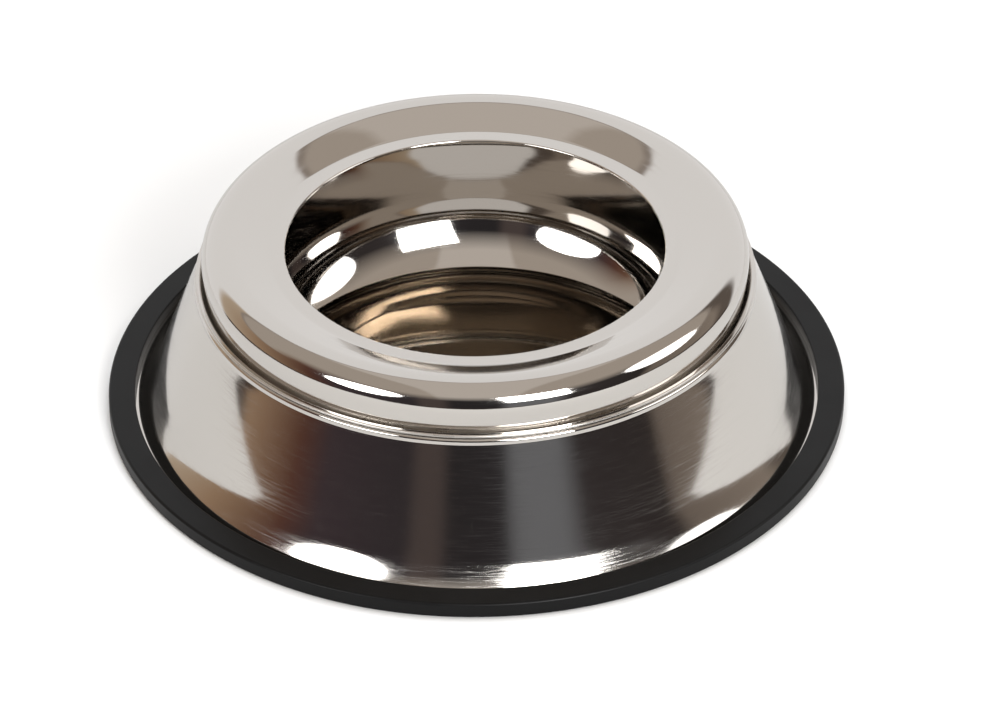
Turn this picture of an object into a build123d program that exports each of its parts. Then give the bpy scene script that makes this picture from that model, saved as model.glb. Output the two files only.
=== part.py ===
from build123d import *
import os
from math import cos, radians, sin

# Non-spill dog bowl in millimetres. Its axis is Z and it stands on z = 0.
# Sheet sections are followed as the face that shows, in (radius, height), and thickened to the hidden side.
# A slope is an angle in degrees above the horizontal.

sheet = 0.6  # thickness of the stainless sheet

# Basin, from the middle of its floor to the rim
floor_z = 2.5  # upper face of the floor
floor_r = 72.0  # where the wall leaves the floor
disc_r = 53.5  # raised disc in the middle of the floor
disc_h = 0.35
disc_run = 1.0  # width of the slope round the disc
wall_foot_slope = 40.0  # slope with which the wall leaves the floor
wall_bend_r = 40.0  # hollow curve of the wall
wall_slope = 76.0  # straight part of the wall
wall_run = 17.8
wall_flare_r = 30.0  # the wall curves outward below the rim
wall_top_slope = 60.0

# Rolled rim and the skirt outside it
rim_fold_r = 1.2  # outer radius of the fold
rim_tuck = 5.0  # degrees by which the fold turns in past the vertical
rim_root_r = 2.0  # hollow curve under the fold
skirt_slope = 68.7
foot_flare_r = 40.0  # the skirt sweeps outward above the floor
foot_slope = 50.0  # slope where that sweep ends
foot_bend_r = 1.2
foot_z = 2.0  # upper face of the level foot
foot_run = 5.2  # width of the level foot, held in the rubber

# Lift-off splash ring
ring_gap = 0.3  # air between the ring and the rim
flange_inset = 0.35  # the flange stops short of the rim's outside
groove_depth = 2.1  # narrow groove between the flange and the ring's wall
ring_wall_slope = 86.5  # the wall draws in a little toward the groove
ring_wall_run = 8.6
shoulder_r = 8.0
crest_r = 13.0  # rounding inside the crest
dish_slope = 20.5  # the top dips toward the opening
dish_run = 9.0
dish_bend_r = 10.0
lip_run = 3.0  # level lip round the opening
lip_hem = 3.2  # width of the lip's folded edge

# Rubber ring on the foot
rubber_top = 3.5  # rubber over the foot
rubber_cover = 4.7  # rubber outside the foot's edge
rubber_lip_gap = 0.9  # from the foot's bend to the rubber's upper lip
rubber_under = 8.0  # lower lip, measured inward from the foot's edge
rubber_end_gap = 0.2  # room beyond the foot's edge in the groove
rubber_round = 0.9  # outer edges
rubber_lip_round = 0.5  # inner edges


def follow(start, slope, runs):
    """Lay straight runs (a length) and bends (radius, turn; left is positive) end to end."""
    point = Vector(*start)
    along = Vector(cos(radians(slope)), sin(radians(slope)))
    edges = []
    for run in runs:
        if isinstance(run, tuple):
            edge = JernArc(point, along, run[0], run[1])
        else:
            edge = Line(point, point + along * run)
        edges.append(edge)
        point = edge @ 1
        along = edge % 1
    return edges


def skin(edges, hidden_side):
    """Section of a sheet whose shown face follows the edges."""
    return make_face(offset(Wire(edges), sheet, side=hidden_side))


def hem(inner_r, outer_r, top_z):
    """Section of an edge folded flat on itself, with a round nose at both ends."""
    width = outer_r - inner_r
    return Pos(inner_r + width / 2, top_z - sheet) * SlotOverall(width, 2 * sheet)


def spin(section):
    """Turn a (radius, height) section about the axis."""
    return revolve(Plane.XZ * section, Axis.Z)


def basin_line():
    """Floor with its raised disc, then the wall up to the start of the rim's fold."""
    top = floor_z + disc_h
    corners = [(0, top), (disc_r, top), (disc_r + disc_run, floor_z), (floor_r, floor_z)]
    floor = [Line(a, b) for a, b in zip(corners, corners[1:])]
    wall = follow(corners[-1], wall_foot_slope, [
        (wall_bend_r, wall_slope - wall_foot_slope),
        wall_run,
        (wall_flare_r, wall_top_slope - wall_slope),
    ])
    return floor + wall


def rim_line(start):
    """Fold over the rim, then the small hollow that leads into the skirt."""
    return follow((start.X, start.Y), wall_top_slope, [
        (rim_fold_r, -(wall_top_slope + 90 + rim_tuck)),
        (rim_root_r, 90 + rim_tuck - skirt_slope),
    ])


def skirt_line(start):
    """Cone, sweep and level foot; the cone is as long as the foot's height asks for."""
    sweep_drop = foot_flare_r * (cos(radians(foot_slope)) - cos(radians(skirt_slope)))
    bend_drop = foot_bend_r * (1 - cos(radians(foot_slope)))
    cone = (start.Y - foot_z - sweep_drop - bend_drop) / sin(radians(skirt_slope))
    return follow((start.X, start.Y), -skirt_slope, [
        cone,
        (foot_flare_r, skirt_slope - foot_slope),
        (foot_bend_r, foot_slope),
        foot_run,
    ])


basin = basin_line()
rim_start = basin[-1] @ 1
rim = rim_line(rim_start)
skirt = skirt_line(rim[-1] @ 1)
rim_r = rim[0].arc_center.X + rim_fold_r
rim_top = rim[0].arc_center.Y + rim_fold_r
foot_inner_r = (skirt[-1] @ 0).X
foot_edge_r = (skirt[-1] @ 1).X


def bowl_shell():
    """One pressed sheet: basin, rolled rim, flared skirt and level foot, hollow underneath."""
    return spin(skin(basin + rim + skirt, Side.RIGHT))


def splash_ring():
    """Dished ring with a folded lip; its wall ends in a groove inside the rim and a folded flange over it."""
    flange_r = rim_r - flange_inset
    flange_low = rim_top + ring_gap
    flange_top = flange_low + 2 * sheet
    nose_z = flange_low + sheet
    groove_z = flange_top - groove_depth
    rise, advance = sin(radians(wall_top_slope)), cos(radians(wall_top_slope))

    def inside_rim(distance, z):
        """Radius at height z of the line that keeps this distance from the middle of the rim's fold."""
        fold = rim[0].arc_center
        return fold.X - (distance - (z - fold.Y) * advance) / rise

    nose_r = inside_rim(rim_fold_r + ring_gap, nose_z)
    groove = (inside_rim(rim_fold_r + ring_gap + sheet, groove_z), groove_z)
    leg = follow(groove, wall_top_slope, [(nose_z + sheet * advance - groove_z) / rise])
    top = follow(groove, ring_wall_slope, [
        ring_wall_run,
        (shoulder_r, 180 - ring_wall_slope),
        (crest_r, dish_slope),
        dish_run,
        (dish_bend_r, -dish_slope),
        lip_run,
    ])
    lip = top[-1] @ 1
    section = skin(top, Side.LEFT) + skin(leg, Side.RIGHT) + Pos(*groove) * Circle(sheet)
    section += hem(nose_r - sheet, flange_r, flange_top)
    section += hem(lip.X - sheet, lip.X - sheet + lip_hem, lip.Y)
    return spin(section)


def rubber_base_ring():
    """Moulded ring with a groove, open to the inside, that grips the foot above and below."""
    outer_r = foot_edge_r + rubber_cover
    top_z = foot_z + rubber_top
    under_r = foot_edge_r - rubber_under
    lip_r = foot_inner_r + rubber_lip_gap
    groove_r = foot_edge_r + rubber_end_gap
    groove_low = foot_z - sheet
    section = make_face(Polyline(
        (under_r, 0), (outer_r, 0), (outer_r, top_z), (lip_r, top_z), (lip_r, foot_z),
        (groove_r, foot_z), (groove_r, groove_low), (under_r, groove_low), close=True,
    ))
    section = fillet(section.vertices().group_by(Axis.X)[-1], rubber_round)
    section = fillet(section.vertices().group_by(Axis.X)[0], rubber_lip_round)
    lip = section.vertices().group_by(Axis.Y)[-1].sort_by(Axis.X)[0]
    section = fillet(lip, rubber_lip_round)
    return spin(section)


nodes = {
    "bowl_shell": bowl_shell(),
    "splash_ring": splash_ring(),
    "rubber_base_ring": rubber_base_ring(),
}

os.makedirs("parts", exist_ok=True)
for name, solid in nodes.items():
    solid.label = name
    export_step(solid, f"parts/{name}.step")
    box = solid.bounding_box()
    print(name, f"volume {solid.volume:.0f} mm3", f"z {box.min.Z:.2f} to {box.max.Z:.2f}", f"r {box.max.X:.2f}")
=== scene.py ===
# %% [markdown]
# # A stainless dog bowl, from drawn lines to a studio picture
# The bowl is three pieces: one pressed steel sheet, a lift-off splash ring and a rubber ring round the
# foot. All three are round, so each is drawn as half a section and spun about the upright axis.
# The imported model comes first. It fixes every size, and each new piece is set where its node is.

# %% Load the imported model
from collections import Counter
from math import atan2, ceil, cos, degrees, hypot, pi, radians, sin, tan

import bpy
from mathutils import Matrix, Vector


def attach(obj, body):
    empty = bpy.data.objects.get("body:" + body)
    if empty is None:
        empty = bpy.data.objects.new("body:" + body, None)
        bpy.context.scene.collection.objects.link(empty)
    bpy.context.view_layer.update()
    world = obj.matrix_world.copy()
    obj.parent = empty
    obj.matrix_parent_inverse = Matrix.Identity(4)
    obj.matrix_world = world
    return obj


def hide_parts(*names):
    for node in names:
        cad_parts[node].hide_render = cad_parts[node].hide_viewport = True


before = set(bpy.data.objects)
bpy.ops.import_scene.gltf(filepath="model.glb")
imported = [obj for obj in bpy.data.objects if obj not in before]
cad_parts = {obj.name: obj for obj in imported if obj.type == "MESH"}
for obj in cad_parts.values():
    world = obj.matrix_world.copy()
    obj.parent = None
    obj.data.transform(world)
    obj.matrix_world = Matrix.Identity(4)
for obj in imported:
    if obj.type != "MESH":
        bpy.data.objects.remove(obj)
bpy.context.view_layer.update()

# %% [markdown]
# ## Drawing a section
# A press tool is dimensioned as straight runs and bends laid end to end, so the sections are drawn that
# way too. A curve could be fitted through points instead, but runs and bends keep their tangents, and on
# a mirror finish the eye sees every break in a tangent as a kink in the reflections.

# %% Straight runs and bends, in millimetres
MM = 0.001
BEND_STEP = 3.2  # degrees between two points of a bend
RUN_STEP = 3.0  # longest stretch of a straight run


def trail(start, slope, runs):
    """Points along straight runs (a length) and bends (radius, turn in degrees; left is positive)."""
    r, z = start
    heading = radians(slope)
    points = [(r, z)]
    for run in runs:
        radius, turn = run if isinstance(run, tuple) else (0, 0)
        steps = max(2, ceil(abs(turn) / BEND_STEP)) if turn else max(1, ceil(run / RUN_STEP))
        half_turn = radians(turn) / steps / 2
        length = 2 * radius * sin(abs(half_turn)) if turn else run / steps
        for _ in range(steps):
            heading += half_turn
            r += length * cos(heading)
            z += length * sin(heading)
            heading += half_turn
            points.append((r, z))
    return points


print("quarter bend of 10 mm:", len(trail((0, 0), 0, [(10, 90)])), "points")

# %% [markdown]
# ## From a drawn section to a round piece
# A flat primitive is merged to one point, the point is extruded along the section, and Spin turns the
# line into a body of revolution. A Screw modifier could do that as well; Spin leaves a plain mesh whose
# faces can be picked by place straight away. The seam and the pole are merged, and only then are the
# normals set, because on an open seam Blender can't tell inside from outside.

# %% Extrude a point along a section and spin it
SPIN_STEPS = 240
MERGE_DISTANCE = 0.000002
SMOOTH_ANGLE = radians(35)


def draw_section(name, points):
    """A new object whose mesh is the open line through the points, left in edit mode."""
    bpy.ops.object.select_all(action="DESELECT")
    bpy.ops.mesh.primitive_plane_add(size=0.01, location=(0, 0, 0))
    piece = bpy.context.object
    piece.name = name
    piece.data.name = name
    bpy.ops.object.mode_set(mode="EDIT")
    bpy.ops.mesh.select_mode(type="VERT")
    bpy.ops.mesh.select_all(action="SELECT")
    bpy.ops.mesh.merge(type="CENTER")
    bpy.ops.transform.translate(value=(points[0][0] * MM, 0, points[0][1] * MM))
    for (r0, z0), (r1, z1) in zip(points, points[1:]):
        step = ((r1 - r0) * MM, 0, (z1 - z0) * MM)
        bpy.ops.mesh.extrude_region_move(TRANSFORM_OT_translate={"value": step})
    return piece


def spin_section(piece):
    """Turn the drawn line about Z and close it, and leave edit mode."""
    bpy.ops.mesh.select_all(action="SELECT")
    bpy.ops.mesh.spin(steps=SPIN_STEPS, angle=2 * pi, center=(0, 0, 0), axis=(0, 0, 1))
    bpy.ops.mesh.select_all(action="SELECT")
    bpy.ops.mesh.remove_doubles(threshold=MERGE_DISTANCE)
    bpy.ops.mesh.normals_make_consistent(inside=False)
    bpy.ops.object.mode_set(mode="OBJECT")
    print(piece.name, len(piece.data.vertices), "vertices", len(piece.data.polygons), "faces")


# %% [markdown]
# ## The pressed sheet
# One 0.6 mm sheet makes the basin, the rolled rim, the flared skirt and the level foot. Only its shown
# face is drawn. A tight round at the foot of the basin wall and at the edge of the raised disc stands for
# the press tool's own rounding: without it those edges would be sharp, and no drawn sheet has such an edge.

# %% Draw the basin, from the middle of its floor to the rim
SHEET = 0.6
floor_z, floor_r, corner_round, corner_clear = 2.5, 72.0, 0.9, 0.3
disc_r, disc_h, disc_run, disc_round = 53.5, 0.35, 1.0, 1.2
wall_foot_slope, wall_slope, wall_top_slope = 40.0, 76.0, 60.0
wall_bend_r, wall_run, wall_flare_r = 40.0, 17.8, 30.0

disc_slope = degrees(atan2(disc_h, disc_run))
disc_tangent = disc_round * tan(radians(disc_slope / 2))
corner_tangent = corner_round * tan(radians(wall_foot_slope / 2))
floor_line = trail((0, floor_z + disc_h), 0, [
    disc_r - disc_tangent,
    (disc_round, -disc_slope),
    hypot(disc_run, disc_h) - 2 * disc_tangent,
    (disc_round, disc_slope),
    floor_r - disc_r - disc_run - disc_tangent - corner_tangent,
    (corner_round, wall_foot_slope),
])
wall_line = trail((floor_r, floor_z), wall_foot_slope, [
    (wall_bend_r, wall_slope - wall_foot_slope), wall_run, (wall_flare_r, wall_top_slope - wall_slope),
])
# The round at the foot takes the place of the wall's first points.
wall_line = [point for point in wall_line if point[0] > floor_line[-1][0] + corner_clear]
rim_start = wall_line[-1]
print("the rim starts at radius", round(rim_start[0], 2), "and height", round(rim_start[1], 2), "mm")

# %% Go over the rim and down the skirt to the foot
rim_fold_r, rim_root_r, fold_end_slope = 1.2, 2.0, 95  # the fold ends 5 degrees past the vertical
skirt_slope, foot_flare_r, foot_slope, foot_bend_r = 68.7, 40.0, 50.0, 1.2
foot_z, foot_run = 2.0, 5.2

rim_line = trail(rim_start, wall_top_slope, [
    (rim_fold_r, -(wall_top_slope + fold_end_slope)), (rim_root_r, fold_end_slope - skirt_slope),
])
sweep_drop = foot_flare_r * (cos(radians(foot_slope)) - cos(radians(skirt_slope)))
bend_drop = foot_bend_r * (1 - cos(radians(foot_slope)))
cone_run = (rim_line[-1][1] - foot_z - sweep_drop - bend_drop) / sin(radians(skirt_slope))
skirt_line = trail(rim_line[-1], -skirt_slope, [
    cone_run, (foot_flare_r, skirt_slope - foot_slope), (foot_bend_r, foot_slope), foot_run,
])
bowl_line = floor_line + wall_line + rim_line[1:] + skirt_line[1:]
foot_edge_r = skirt_line[-1][0]
print(len(bowl_line), "points from the middle of the floor to the foot at", round(foot_edge_r, 2), "mm")

# %% [markdown]
# The sheet gets its thickness last, from Solidify, on the side that doesn't show. Its normals have to
# point to the shown side first, so the face in the middle of the floor is looked at, and the mesh is
# flipped if that face points down.

# %% Spin the sheet and give it its thickness
bowl = draw_section("bowl_sheet", bowl_line)
spin_section(bowl)
middle = min(bowl.data.polygons, key=lambda face: hypot(face.center.x, face.center.y))
if middle.normal.z < 0:
    bpy.ops.object.mode_set(mode="EDIT")
    bpy.ops.mesh.select_all(action="SELECT")
    bpy.ops.mesh.flip_normals()
    bpy.ops.object.mode_set(mode="OBJECT")
thickness = bowl.modifiers.new("sheet thickness", "SOLIDIFY")
thickness.thickness = SHEET * MM
thickness.offset = -1
thickness.use_even_offset = True
thickness.material_offset = 1
bpy.ops.object.modifier_apply(modifier=thickness.name)
bpy.ops.object.shade_smooth_by_angle(angle=SMOOTH_ANGLE)
print("bowl sheet", len(bowl.data.polygons), "faces")

# %% [markdown]
# ## The splash ring
# The ring is a second pressing: an upright wall, a round shoulder, a top that dips toward the mouth, and
# a lip folded under so that the mouth has no raw edge. Below, the wall runs down inside the rim, and there
# the sheet turns back up and out over the rim as a folded flange. The narrow groove that this leaves is the
# dark line round the ring's foot. Solidify would run into itself at the folds, so the closed outline is
# drawn instead.

# %% Set the flange and the groove against the rim
ring_gap, flange_inset, groove_depth = 0.3, 0.35, 2.1
rise, advance = sin(radians(wall_top_slope)), cos(radians(wall_top_slope))
fold_middle = (rim_start[0] + rim_fold_r * rise, rim_start[1] - rim_fold_r * advance)
flange_edge = fold_middle[0] + rim_fold_r - flange_inset
flange_low = fold_middle[1] + rim_fold_r + ring_gap


def inside_rim(distance, z):
    """Radius at height z of the slanting line at this distance from the middle of the rim's fold."""
    return fold_middle[0] - (distance - (z - fold_middle[1]) * advance) / rise


nose_z = flange_low + SHEET
nose_r = inside_rim(rim_fold_r + ring_gap, nose_z)
groove_z = flange_low + 2 * SHEET - groove_depth
groove = (inside_rim(rim_fold_r + ring_gap + SHEET, groove_z), groove_z)
leg_run = (nose_z + SHEET * advance - groove_z) / rise
flange_run = flange_edge - SHEET - nose_r
print("groove at radius", round(groove[0], 2), "mm, flange out to", round(flange_edge, 2), "mm")

# %% [markdown]
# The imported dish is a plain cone, and a cone mirrors every patch of light with straight ends. A pressed
# dish is crowned a little, which rounds them. So the cone gets a large radius here, about 0.15 mm proud,
# between the same crest and the same lip.

# %% Crown the dish
dish_drop, dish_reach = 4.6085, 19.485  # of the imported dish, from its crest to the edge of its lip
crest_r, crest_turn, dish_slope, bend_r = 13.0, 18.0, 22.0, 6.0
cos_crest, cos_dish = cos(radians(crest_turn)), cos(radians(dish_slope))
sin_crest, sin_dish = sin(radians(crest_turn)), sin(radians(dish_slope))
crown_r = (dish_drop - crest_r * (1 - cos_crest) - bend_r * (1 - cos_dish)) / (cos_crest - cos_dish)
lip_run = dish_reach - crest_r * sin_crest - crown_r * (sin_dish - sin_crest) - bend_r * sin_dish
print("dish crowned at a radius of", round(crown_r, 1), "mm, level lip", round(lip_run, 2), "mm")

# %% Draw the ring's outline and spin it
ring_wall_slope, ring_wall_run, shoulder_r, hem_run = 86.5, 8.6, 8.0, 2.0
ring_top = trail(groove, ring_wall_slope, [
    ring_wall_run, (shoulder_r, 180 - ring_wall_slope), (crest_r, crest_turn),
    (crown_r, dish_slope - crest_turn), (bend_r, -dish_slope), lip_run,
])
lip_r, lip_z = ring_top[-1]
lip_hem = trail(ring_top[-1], 180, [(SHEET, 180), hem_run, (SHEET, 90)])
ring_under = trail((lip_r + hem_run + SHEET, lip_z - SHEET), 0, [
    lip_run - hem_run - SHEET, (bend_r + SHEET, dish_slope), (crown_r - SHEET, crest_turn - dish_slope),
    (crest_r - SHEET, -crest_turn), (shoulder_r - SHEET, ring_wall_slope - 180), ring_wall_run,
    (SHEET, 180 - ring_wall_slope + wall_top_slope), leg_run - SHEET,
])
flange = trail(ring_under[-1], wall_top_slope - 90, [
    (SHEET, 90 - wall_top_slope), flange_run, (SHEET, 180), flange_run, (SHEET, wall_top_slope), leg_run,
])
ring_outline = ring_top + lip_hem[1:] + ring_under[1:] + flange[1:]
left_open = hypot(flange[-1][0] - groove[0], flange[-1][1] - groove[1])
print("outline closes within", round(left_open, 4), "mm")
ring = draw_section("dished_ring", ring_outline)
spin_section(ring)
bpy.ops.object.shade_smooth_by_angle(angle=SMOOTH_ANGLE)
print("mouth of the ring is", round(2 * (lip_r - SHEET), 1), "mm wide")

# %% [markdown]
# ## The rubber ring
# A moulded ring with a slot that the steel foot snaps into. It could be a swept tube, but a tube has no
# slot, so the section is drawn whole. Moulded rubber never leaves the tool with a sharp edge, and its
# rounded rim catches a thin line of light.

# %% Draw the rubber's outline and spin it
rubber_cover, rubber_over, rubber_under, lip_gap, end_gap = 4.7, 3.5, 8.0, 0.9, 0.2
edge_round, lip_round = 0.9, 0.5
rubber_out, rubber_top_z = foot_edge_r + rubber_cover, foot_z + rubber_over
rubber_in, rubber_lip = foot_edge_r - rubber_under, foot_edge_r - foot_run + lip_gap
slot_r, slot_low = foot_edge_r + end_gap, foot_z - SHEET

rubber_outline = trail((rubber_in + lip_round, 0), 0, [
    rubber_out - edge_round - rubber_in - lip_round, (edge_round, 90),
    rubber_top_z - 2 * edge_round, (edge_round, 90),
    rubber_out - edge_round - rubber_lip - lip_round, (lip_round, 90),
    rubber_top_z - lip_round - foot_z,
])
rubber_outline += trail((rubber_lip, foot_z), 0, [slot_r - rubber_lip])[1:]
rubber_outline += [(slot_r, slot_low)]
rubber_outline += trail((slot_r, slot_low), 180, [
    slot_r - rubber_in - lip_round, (lip_round, 90), slot_low - 2 * lip_round, (lip_round, 90),
])[1:]
rubber = draw_section("rubber_ring", rubber_outline)
spin_section(rubber)
bpy.ops.object.shade_smooth_by_angle(angle=SMOOTH_ANGLE)
print("rubber ring is", round(2 * rubber_out, 1), "mm across")

# %% [markdown]
# ## Colours and nodes
# Colours are written as the hex values that a picture editor shows, and one function turns them to the
# linear values that light is added in. One more function adds a node, sets it up and links it.

# %% Colour and node helpers


def linear(hex_colour):
    """An sRGB hex colour as linear red, green, blue and alpha."""
    parts = [int(hex_colour[i:i + 2], 16) / 255 for i in (1, 3, 5)]
    return [c / 12.92 if c <= 0.04045 else ((c + 0.055) / 1.055) ** 2.4 for c in parts] + [1.0]


def add_node(tree, kind, inputs=None, **settings):
    """Add a node; each named or numbered input takes a value or is linked from an output."""
    node = tree.nodes.new(kind)
    for key, value in settings.items():
        setattr(node, key, value)
    for key, value in (inputs or {}).items():
        if isinstance(value, bpy.types.NodeSocket):
            tree.links.new(value, node.inputs[key])
        else:
            node.inputs[key].default_value = value
    return node


def new_material(name):
    """An empty material with its shader, and the tree to build in."""
    material = bpy.data.materials.new(name)
    material.use_nodes = True
    return material, material.node_tree, material.node_tree.nodes["Principled BSDF"]


STEEL = linear("#D0CCC7")
print("steel in linear light", [round(c, 3) for c in STEEL])

# %% [markdown]
# ## Buffed stainless steel
# Buffed stainless is a warm grey mirror. Up close it shows what the wheel left: hair-fine lines that run
# round the piece, patches where the buff pressed less, and a slow unevenness of the sheet that makes the
# edges of reflections swim. The lines could be painted as an image; here noise is stretched round the
# axis, so that it fits any radius and stays with the piece. Real lines are a few hundredths of a
# millimetre apart, too fine to show, so they are drawn at 0.18 to 0.7 mm.

# %% A recipe for buffed stainless steel
HAIR_DEPTH, SWELL_WIDTH, PATCH_WIDTH = 0.0012, 26, 38  # millimetres
MEAN_RADIUS = 100  # millimetres; it turns a line's length into a share of the unit circle


def buffed_steel(name, roughness, scratch, hair_mm, swim_mm, uphill, line_mm=45):
    """Buffed stainless: hair lines round the piece, slow swells, and cloudy patches in the gloss.

    Along the section, radius plus uphill times height must keep changing, so that the lines stay apart.
    """
    material, tree, shader = new_material(name)
    place = add_node(tree, "ShaderNodeTexCoord").outputs["Object"]
    flat = add_node(tree, "ShaderNodeVectorMath", {0: place, 1: (1, 1, 0)}, operation="MULTIPLY")
    around = add_node(tree, "ShaderNodeVectorMath", {0: flat.outputs[0]}, operation="NORMALIZE")
    radius = add_node(tree, "ShaderNodeVectorMath", {0: flat.outputs[0]}, operation="LENGTH")
    height = add_node(tree, "ShaderNodeSeparateXYZ", {0: place})
    across = add_node(tree, "ShaderNodeMath",
                      {0: height.outputs["Z"], 1: uphill, 2: radius.outputs["Value"]},
                      operation="MULTIPLY_ADD")
    line = add_node(tree, "ShaderNodeMath", {0: across.outputs[0], 1: 1 / (hair_mm * MM)},
                    operation="MULTIPLY")
    lift = add_node(tree, "ShaderNodeCombineXYZ", {"Z": line.outputs[0]})
    hair_at = add_node(tree, "ShaderNodeVectorMath",
                       {0: around.outputs[0], 1: [MEAN_RADIUS / line_mm] * 3, 2: lift.outputs[0]},
                       operation="MULTIPLY_ADD")
    hair = add_node(tree, "ShaderNodeTexNoise",
                    {"Vector": hair_at.outputs[0], "Scale": 1.0, "Detail": 3.0})
    wave = add_node(tree, "ShaderNodeTexNoise",
                    {"Vector": place, "Scale": 1 / (SWELL_WIDTH * MM), "Detail": 1.0})
    cloud = add_node(tree, "ShaderNodeTexNoise",
                     {"Vector": place, "Scale": 1 / (PATCH_WIDTH * MM), "Detail": 4.0})
    polish = add_node(tree, "ShaderNodeMapRange",
                      {"Value": cloud.outputs["Fac"], "From Min": 0.3, "From Max": 0.75,
                       "To Min": roughness * 0.7, "To Max": roughness * 1.5})
    scratched = add_node(tree, "ShaderNodeMapRange",
                         {"Value": hair.outputs["Fac"], "From Min": 0.5, "From Max": 0.72,
                          "To Max": scratch})
    rough = add_node(tree, "ShaderNodeMath", {0: polish.outputs[0], 1: scratched.outputs[0]},
                     operation="ADD")
    swell = add_node(tree, "ShaderNodeBump",
                     {"Height": wave.outputs["Fac"], "Strength": 1.0, "Distance": swim_mm * MM})
    grain = add_node(tree, "ShaderNodeBump",
                     {"Height": hair.outputs["Fac"], "Strength": 1.0, "Distance": HAIR_DEPTH * MM,
                      "Normal": swell.outputs[0]})
    tree.links.new(rough.outputs[0], shader.inputs["Roughness"])
    tree.links.new(grain.outputs[0], shader.inputs["Normal"])
    shader.inputs["Base Color"].default_value = STEEL
    shader.inputs["Metallic"].default_value = 1.0
    print("made", name)
    return material, tree, shader


# %% [markdown]
# The parts of the bowl are not equally bright. The maker buffs the basin and the ring to a mirror, runs a
# wheel round the skirt and spins the floor, and leaves alone what nobody sees. One steel for everything
# would be simpler, but the change of gloss from part to part is how the eye tells them apart. The floor's
# lighter tone is painted reflection and the underside's darker tone is painted shade.

# %% Mirror-buffed steel of the basin wall, the rim and the splash ring
# Nearly a mirror: sharp images of the lights, with edges that swim a little.
basin_steel = buffed_steel("stainless steel, mirror-buffed basin", 0.04, 0.05, 0.5, 0.03, 1.0)[0]
ring_steel = buffed_steel("stainless steel, mirror-buffed ring", 0.05, 0.06, 0.5, 0.04, -1.0)[0]

# %% Ring-buffed steel of the skirt and spun steel of the floor
# The lines run round the axis, so light smears across them: up and down on the skirt, and toward the
# middle on the floor. The floor's slightly warmer, lighter colour is a painted reflection of the warm light
# it mirrors.
skirt_steel, skirt_tree, skirt_shader = buffed_steel(
    "stainless steel, skirt buffed in rings", 0.06, 0.14, 0.18, 0.03, -1.0, 12)
floor_steel, floor_tree, floor_shader = buffed_steel(
    "stainless steel, spun floor", 0.025, 0.04, 0.5, 0.01, 1.0)
# Painted reflection: a lighter, warmer steel colour for the floor, standing in for the golden light it
# mirrors.
floor_shader.inputs["Base Color"].default_value = linear("#DBD2C6")
for tree, shader, smear in ((skirt_tree, skirt_shader, 0.85), (floor_tree, floor_shader, 0.6)):
    turning = add_node(tree, "ShaderNodeTangent", direction_type="RADIAL", axis="Z")
    tree.links.new(turning.outputs[0], shader.inputs["Tangent"])
    shader.inputs["Anisotropic"].default_value = smear

# %% Steel of the ring's underside and flange, and of the sheet's hidden side
# The wheel hardly reaches the underside, which the basin mirrors, so it is softer; its darker colour is
# painted shade. The flange is a satin that keeps only broad lights, and the hidden side is dull as it left
# the press.
shaded_under_steel, _, shaded_under_shader = buffed_steel(
    "stainless steel, lightly buffed underside, painted shade", 0.12, 0.08, 0.5, 0.02, -1.0)
# Painted shade: the faces that point down or in get a darker colour than the shown steel.
shaded_under_shader.inputs["Base Color"].default_value = linear("#ABA6A0")
flange_steel = buffed_steel("stainless steel, satin flange", 0.26, 0.1, 0.3, 0.02, -1.0)[0]
back_steel = buffed_steel("stainless steel, satin from the press", 0.38, 0.1, 0.7, 0.01, -1.0)[0]

# %% [markdown]
# ## Moulded rubber
# Black rubber out of a polished mould: nearly black, a satin sheen, a very fine tooth, and a bloom of
# grey where dust and wax have come to the surface. A plain black would look like a hole in the picture,
# so colour and sheen both follow the bloom.

# %% Rubber of the base ring
TOOTH_WIDTH, TOOTH_DEPTH, BLOOM_WIDTH = 0.6, 0.03, 18  # millimetres; the real tooth is finer still
black_rubber, tree, shader = new_material("rubber, moulded black")
place = add_node(tree, "ShaderNodeTexCoord").outputs["Object"]
tooth = add_node(tree, "ShaderNodeTexNoise",
                 {"Vector": place, "Scale": 1 / (TOOTH_WIDTH * MM), "Detail": 2.0})
bloom = add_node(tree, "ShaderNodeTexNoise",
                 {"Vector": place, "Scale": 1 / (BLOOM_WIDTH * MM), "Detail": 5.0})
tone = add_node(tree, "ShaderNodeMix",
                {"Factor": bloom.outputs["Fac"], 6: linear("#050505"), 7: linear("#0C0C0D")},
                data_type="RGBA")
sheen = add_node(tree, "ShaderNodeMapRange",
                 {"Value": bloom.outputs["Fac"], "From Min": 0.3, "From Max": 0.7,
                  "To Min": 0.32, "To Max": 0.44})
skin = add_node(tree, "ShaderNodeBump",
                {"Height": tooth.outputs["Fac"], "Strength": 0.5, "Distance": TOOTH_DEPTH * MM})
tree.links.new(tone.outputs[2], shader.inputs["Base Color"])
tree.links.new(sheen.outputs[0], shader.inputs["Roughness"])
tree.links.new(skin.outputs[0], shader.inputs["Normal"])
shader.inputs["Specular IOR Level"].default_value = 0.19
print("made", black_rubber.name)

# %% [markdown]
# ## Dressing the pieces
# Each face takes the finish of its place. On the bowl the hidden side already carries the second slot,
# which Solidify gave it, so only the floor and the skirt are picked out. On the ring the flange is picked
# by its place, and the underside by the way its faces point.

# %% Finishes of the bowl
BASIN, FLOOR, SKIRT = 0, 2, 3  # slots; slot 1 is the hidden side's
FLOOR_BAND = 1  # millimetres above the floor that take its finish


def print_finishes(piece):
    """How many faces of the piece carry each finish."""
    counts = Counter(face.material_index for face in piece.data.polygons)
    print(piece.name, {piece.data.materials[i].name: n for i, n in sorted(counts.items())})


for material in (basin_steel, back_steel, floor_steel, skirt_steel):
    bowl.data.materials.append(material)
skirt_r, skirt_z = rim_line[-1]
for face in bowl.data.polygons:
    r = hypot(face.center.x, face.center.y) / MM
    if face.material_index == BASIN and r < floor_r and face.center.z < (floor_z + FLOOR_BAND) * MM:
        face.material_index = FLOOR
    elif face.material_index == BASIN and r > skirt_r and face.center.z < skirt_z * MM:
        face.material_index = SKIRT
print_finishes(bowl)

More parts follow.
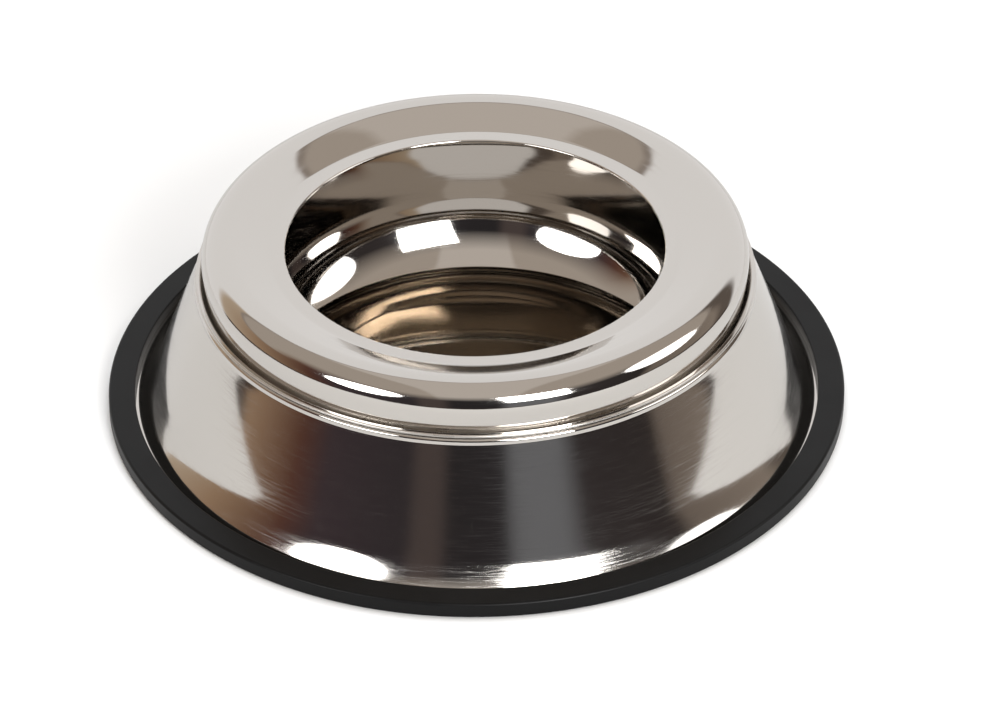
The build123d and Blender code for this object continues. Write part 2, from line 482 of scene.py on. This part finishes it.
# %% Finishes of the ring and the rubber
SHADED_UNDER, FLANGE = 1, 2  # slots; slot 0 is the shown side's
FLANGE_CLEAR = 0.25  # millimetres out from the groove's middle, where the flange's finish starts
FACING_DOWN, FACING_IN = -0.1, -0.6  # limits for a normal's upright and outward parts

for material in (ring_steel, shaded_under_steel, flange_steel):
    ring.data.materials.append(material)
# Faces that point down or in take the underside's steel, whose darker colour is painted shade.
for face in ring.data.polygons:
    r = hypot(face.center.x, face.center.y) / MM
    outward = (face.center.x * face.normal.x + face.center.y * face.normal.y) / (r * MM)
    if r > groove[0] + FLANGE_CLEAR and face.center.z < (nose_z + SHEET) * MM:
        face.material_index = FLANGE
    elif r > lip_r + hem_run and (face.normal.z < FACING_DOWN or outward < FACING_IN):
        face.material_index = SHADED_UNDER
print_finishes(ring)
rubber.data.materials.append(black_rubber)
print_finishes(rubber)

# %% Give the pieces their places in the model
for piece, node, body, slot in (
    (bowl, "bowl_shell", "bowl", "polished_stainless"),
    (ring, "splash_ring", "ring", "polished_stainless"),
    (rubber, "rubber_base_ring", "bowl", "black_rubber"),
):
    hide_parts(node)
    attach(piece, body)
    print(piece.name, "stands for", node, "and rides on", body)

# %% [markdown]
# ## Studio
# A mirror shows its surroundings, so the studio is half of the look: a pale floor, a white wall behind, a
# dark room behind the camera, a warm grey ceiling and a few softboxes.
#
# The floor is two sheets of paper. A wide white one lies under the bowl for the camera and keeps the
# background plain from every side. The steel mirrors a second, shorter and greyer one, which ends in front
# and at the sides as a tabletop roll does: its edge is what bounds the white in the skirt. Each is seen by
# its own kind of ray and hidden from the other, so no paper edge shows on the floor.

# %% Floor
for name, tone, near, far, height in (
    ("paper_sheet", "#CFCFCE", (-0.38, -0.45), (0.40, 3.0), 0.0),
    ("studio_floor", "#EBEBEA", (-6, -6), (6, 6), -0.0005),
):
    # Matt paper: no gloss of its own, so it gives an even tone.
    paper, tree, shader = new_material("paper, matt white, " + name)
    shader.inputs["Base Color"].default_value = linear(tone)
    shader.inputs["Roughness"].default_value = 0.9
    bpy.ops.object.select_all(action="DESELECT")
    centre = ((near[0] + far[0]) / 2, (near[1] + far[1]) / 2, height)
    bpy.ops.mesh.primitive_plane_add(size=1, location=centre)
    sheet = bpy.context.object
    sheet.name = name
    sheet.scale = (far[0] - near[0], far[1] - near[1], 1)
    bpy.ops.object.transform_apply(location=True, rotation=True, scale=True)
    sheet.data.materials.append(paper)
    mirrored = name == "paper_sheet"
    sheet.visible_glossy = mirrored
    sheet.visible_camera = sheet.visible_diffuse = sheet.visible_shadow = not mirrored
    print(name, "from", near, "to", far)

# %% [markdown]
# The room is painted on the world by direction, in bands of tone round the bowl. An image of a room would
# mirror more richly, but bands are plain, repeat exactly and need no file. A colour ramp takes the
# azimuth, 0 at the camera's side and positive to the right; higher up the bands lean outward a little.

# %% Walls, by azimuth
WHITE = "#CDCCCC"
BAND_LEAN = -0.2  # straight overhead a band lies a quarter further out than at the horizon
world = bpy.data.worlds.new("studio")
bpy.context.scene.world = world
world.use_nodes = True
tree = world.node_tree
view = add_node(tree, "ShaderNodeTexCoord").outputs["Generated"]
way = add_node(tree, "ShaderNodeSeparateXYZ", {0: view})
front = add_node(tree, "ShaderNodeMath", {0: way.outputs["Y"], 1: -1.0}, operation="MULTIPLY")
turn = add_node(tree, "ShaderNodeMath", {0: way.outputs["X"], 1: front.outputs[0]}, operation="ARCTAN2")
lean = add_node(tree, "ShaderNodeMath", {0: way.outputs["Z"], 1: BAND_LEAN, 2: 1.0},
                operation="MULTIPLY_ADD")
leaning = add_node(tree, "ShaderNodeMath", {0: turn.outputs[0], 1: lean.outputs[0]},
                   operation="MULTIPLY")
share = add_node(tree, "ShaderNodeMapRange",
                 {"Value": leaning.outputs[0], "From Min": -pi, "From Max": pi})
walls = add_node(tree, "ShaderNodeValToRGB", {0: share.outputs[0]})
table_edge = add_node(tree, "ShaderNodeValToRGB", {0: share.outputs[0]})
for ramp, colours in (
    (walls, (
        (-121, WHITE), (-116, "#A0917F"), (-92, "#846D58"), (-66, "#4A3027"), (-54, "#342C2F"),
        (-24, "#2C282A"), (-20, "#423A38"), (-13, "#423A38"), (-9, "#252324"), (8, "#252324"),
        (13, "#5F6063"), (29, "#5F6063"), (36, "#2E2A2A"), (65, "#2A2625"), (70, "#625952"),
        (104, "#786E65"), (110, "#544C46"), (119, "#544C46"), (124, WHITE),
    )),
    (table_edge, ((-121, WHITE), (-116, "#352C28"), (119, "#352C28"), (124, WHITE))),
):
    stops = ramp.color_ramp.elements
    stops[0].color = stops[1].color = linear(WHITE)
    for azimuth, colour in colours:
        stop = stops.new((azimuth + 180) / 360)
        stop.color = linear(colour)
    print(len(stops), "stops of tone round the bowl")
below = add_node(tree, "ShaderNodeMapRange",
                 {"Value": way.outputs["Z"], "From Min": -0.10, "From Max": -0.12})
room = add_node(tree, "ShaderNodeMix",
                {"Factor": below.outputs[0], 6: walls.outputs[0], 7: table_edge.outputs[0]},
                data_type="RGBA")

# %% [markdown]
# The ceiling is what the back of the ring mirrors as a long grey patch with a thin dark frame. Its edge is
# crisp behind the bowl and curves down at the sides. In front it rises softly, because the shoulder there
# shows no edge.

# %% Ceiling: a crisp edge behind the bowl, a soft rise in front of it
BACK_TILT, SIDE_CURVE = 0.08, 0.58  # how the edge comes down toward the back and at the sides
aside = add_node(tree, "ShaderNodeMath", {0: way.outputs["X"]}, operation="ABSOLUTE")
aside_squared = add_node(tree, "ShaderNodeMath", {0: way.outputs["X"], 1: way.outputs["X"]},
                         operation="MULTIPLY")
rise_back = add_node(tree, "ShaderNodeMath", {0: way.outputs["Y"], 1: BACK_TILT, 2: way.outputs["Z"]},
                     operation="MULTIPLY_ADD")
tilt = add_node(tree, "ShaderNodeMath",
                {0: aside_squared.outputs[0], 1: SIDE_CURVE, 2: rise_back.outputs[0]},
                operation="MULTIPLY_ADD")
frame_edge = add_node(tree, "ShaderNodeMapRange",
                      {"Value": tilt.outputs[0], "From Min": 0.868, "From Max": 0.878})
crisp = add_node(tree, "ShaderNodeMapRange",
                 {"Value": tilt.outputs[0], "From Min": 0.884, "From Max": 0.894})
soft = add_node(tree, "ShaderNodeMapRange",
                {"Value": way.outputs["Z"], "From Min": 0.48, "From Max": 0.74})
behind = add_node(tree, "ShaderNodeMapRange",
                  {"Value": way.outputs["Y"], "From Min": -0.15, "From Max": 0.05})
ends = add_node(tree, "ShaderNodeMapRange",
                {"Value": aside.outputs[0], "From Min": 0.22, "From Max": 0.25})
ceiling = add_node(tree, "ShaderNodeMix",
                   {"Factor": ends.outputs[0], 6: linear("#AAA39C"), 7: linear("#958C83")},
                   data_type="RGBA")
framed = add_node(tree, "ShaderNodeMix",
                  {"Factor": frame_edge.outputs[0], 6: room.outputs[2], 7: linear("#7E756E")},
                  data_type="RGBA")
back_sky = add_node(tree, "ShaderNodeMix",
                    {"Factor": crisp.outputs[0], 6: framed.outputs[2], 7: ceiling.outputs[2]},
                    data_type="RGBA")
front_sky = add_node(tree, "ShaderNodeMix",
                     {"Factor": soft.outputs[0], 6: room.outputs[2], 7: ceiling.outputs[2]},
                     data_type="RGBA")
sky = add_node(tree, "ShaderNodeMix",
               {"Factor": behind.outputs[0], 6: front_sky.outputs[2], 7: back_sky.outputs[2]},
               data_type="RGBA")
tree.links.new(sky.outputs[2], tree.nodes["Background"].inputs["Color"])
tree.nodes["Background"].inputs["Strength"].default_value = 1.6
print("world of", len(tree.nodes), "nodes")

# %% [markdown]
# The softboxes are the white shapes in the steel: a square one and two round ones. A fourth hangs overhead,
# hidden from reflections, and only fills the shadow on the floor.

# %% Softboxes, by azimuth from the camera's side and by elevation
SOFTBOX_DISTANCE = 2.2


def softbox(name, shape, azimuth, elevation, width, height, power):
    """A flat soft light that faces the bowl."""
    light = bpy.data.lights.new(name, "AREA")
    light.shape = shape
    light.size, light.size_y, light.energy = width, height, power
    lamp = bpy.data.objects.new(name, light)
    bpy.context.collection.objects.link(lamp)
    level = SOFTBOX_DISTANCE * cos(radians(elevation))
    lamp.location = (level * sin(radians(azimuth)), -level * cos(radians(azimuth)),
                     SOFTBOX_DISTANCE * sin(radians(elevation)))
    lamp.rotation_euler = (-lamp.location).to_track_quat("-Z", "Y").to_euler()
    print(name, power, "W")
    return lamp


softbox("window_right", "RECTANGLE", 24, 30, 0.92, 0.94, 38)
softbox("softbox_left", "ELLIPSE", -46, 26, 1.15, 1.0, 16)
softbox("softbox_right", "ELLIPSE", 82, 29, 1.3, 1.1, 9)
overhead_fill = softbox("overhead_fill", "ELLIPSE", 180, 82, 1.6, 1.6, 25)
overhead_fill.data.color = linear("#F0F7FF")[:3]
overhead_fill.visible_glossy = False

# %% [markdown]
# The camera looks down at the photograph's angle, from about two metres with a long lens. Its place, tilt
# and small roll were fitted to the round edges of the bowl, which is surer than judging them by eye.

# %% Camera
pitch, roll = radians(35.467), radians(-0.559)
ahead = Vector((0, cos(pitch), -sin(pitch)))
level_right, level_up = Vector((1, 0, 0)), Vector((0, sin(pitch), cos(pitch)))
right = level_right * cos(roll) + level_up * sin(roll)
up = level_up * cos(roll) - level_right * sin(roll)
camera = bpy.data.objects.new("camera", bpy.data.cameras.new("camera"))
bpy.context.collection.objects.link(camera)
camera.location = (0, -1.66284, 1.19727)
camera.rotation_euler = Matrix((right, up, -ahead)).transposed().to_euler()
camera.data.sensor_width = 36
camera.data.lens = 216
camera.data.shift_x = 0.0237
camera.data.clip_end = 100
bpy.context.scene.camera = camera
bpy.context.scene.view_settings.view_transform = "Standard"
print("camera", round(camera.location.length, 2), "m from the bowl")
